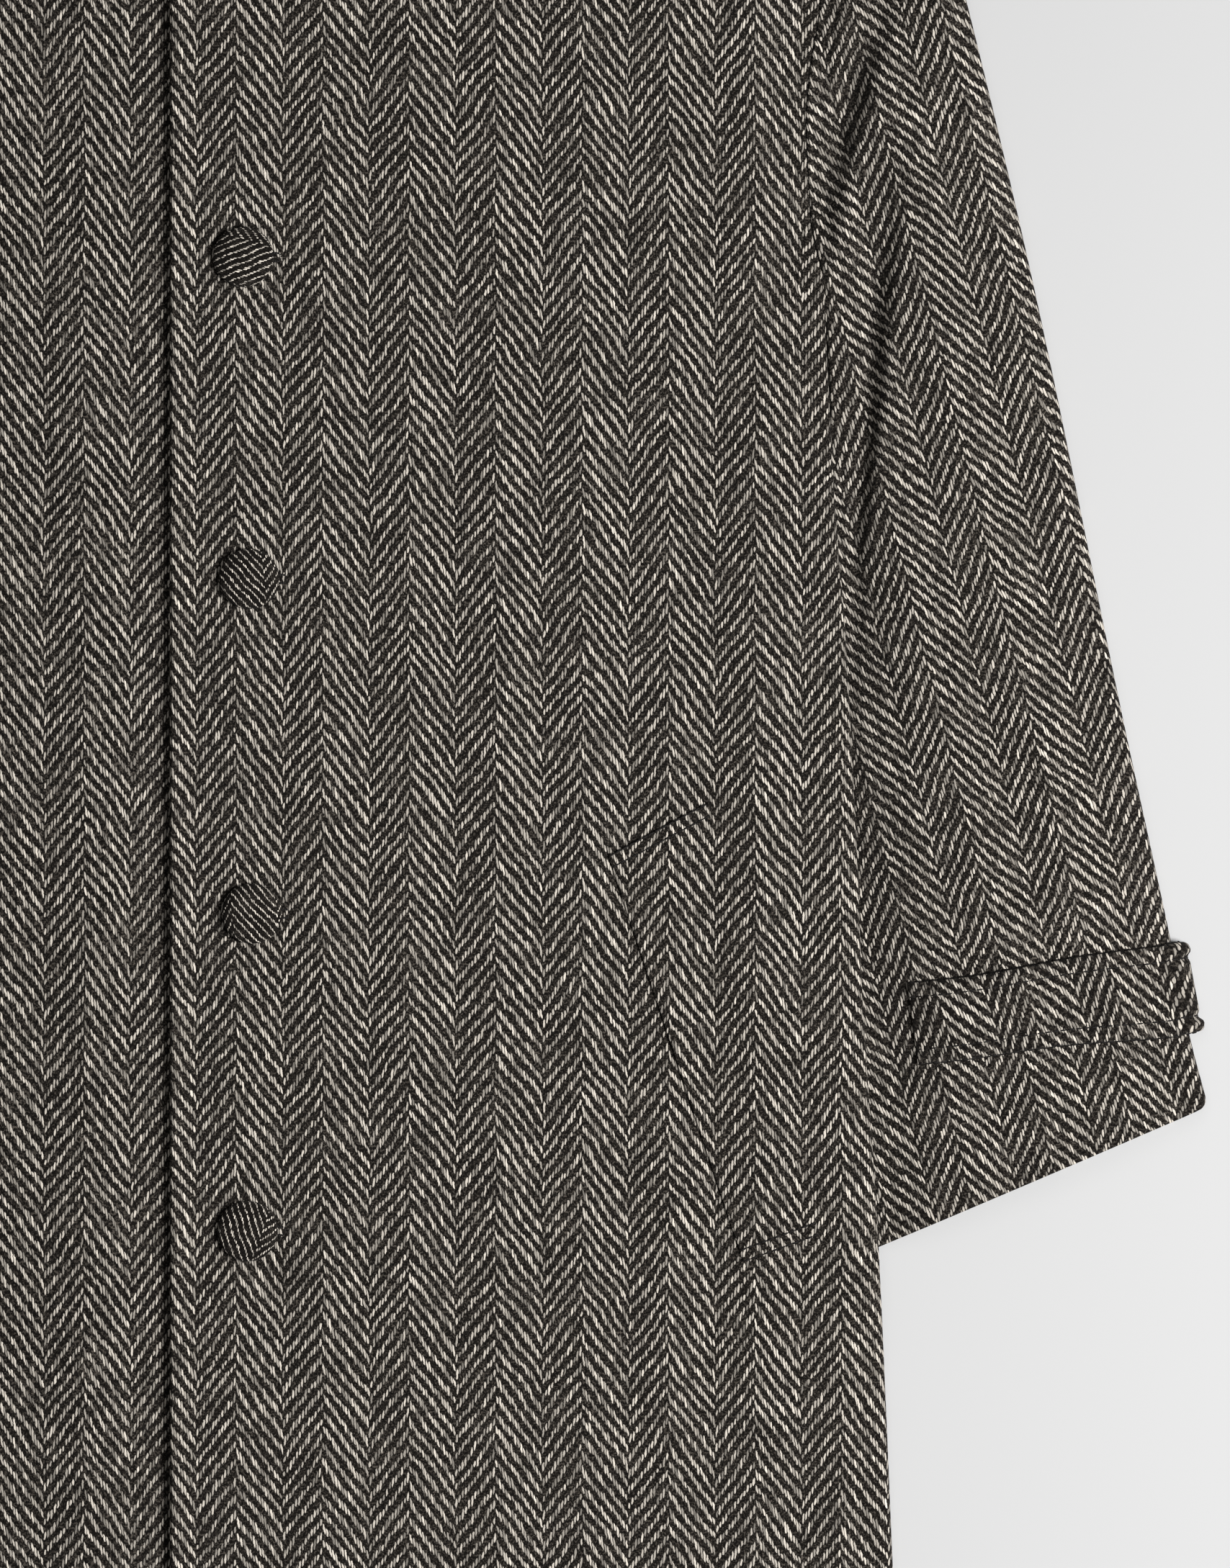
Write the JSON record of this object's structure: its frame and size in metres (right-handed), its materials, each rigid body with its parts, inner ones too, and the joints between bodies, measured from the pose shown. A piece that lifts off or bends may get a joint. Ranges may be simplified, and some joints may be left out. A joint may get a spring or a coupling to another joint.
{
  "type": "single-breasted coat",
  "caption": "Single-breasted herringbone tweed coat with a turned-down collar, covered buttons, slanted welt pockets and cuff straps, buttoned and laid flat.",
  "frame": {"origin": "middle of the bounding box, on the surface that the coat lies on", "axes": "+X to the wearer's left, +Y up the coat towards the collar, +Z away from the surface, out of the front"},
  "size_m": [0.8894, 1.1422, 0.0167],
  "materials": {
    "body_cloth": "matte herringbone tweed",
    "sleeve_cloth": "matte herringbone tweed, grain along the sleeve",
    "trim_cloth": "matte herringbone tweed, doubled and stitched",
    "button_cloth": "matte fine herringbone cloth drawn over a mould"
  },
  "bodies": {
    "root": {"back": "body_cloth", "front_left": "body_cloth", "front_right": "body_cloth", "sleeve_top_left": "sleeve_cloth", "sleeve_top_right": "sleeve_cloth", "sleeve_under_left": "sleeve_cloth", "sleeve_under_right": "sleeve_cloth", "sleeve_strap_left": "trim_cloth", "sleeve_strap_right": "trim_cloth", "pocket_welt_left": "trim_cloth", "pocket_welt_right": "trim_cloth", "collar_stand": "body_cloth", "collar_fall": "body_cloth", "button_1": "button_cloth", "button_2": "button_cloth", "button_3": "button_cloth", "button_4": "button_cloth", "button_5": "button_cloth"}
  },
  "joints": []
}
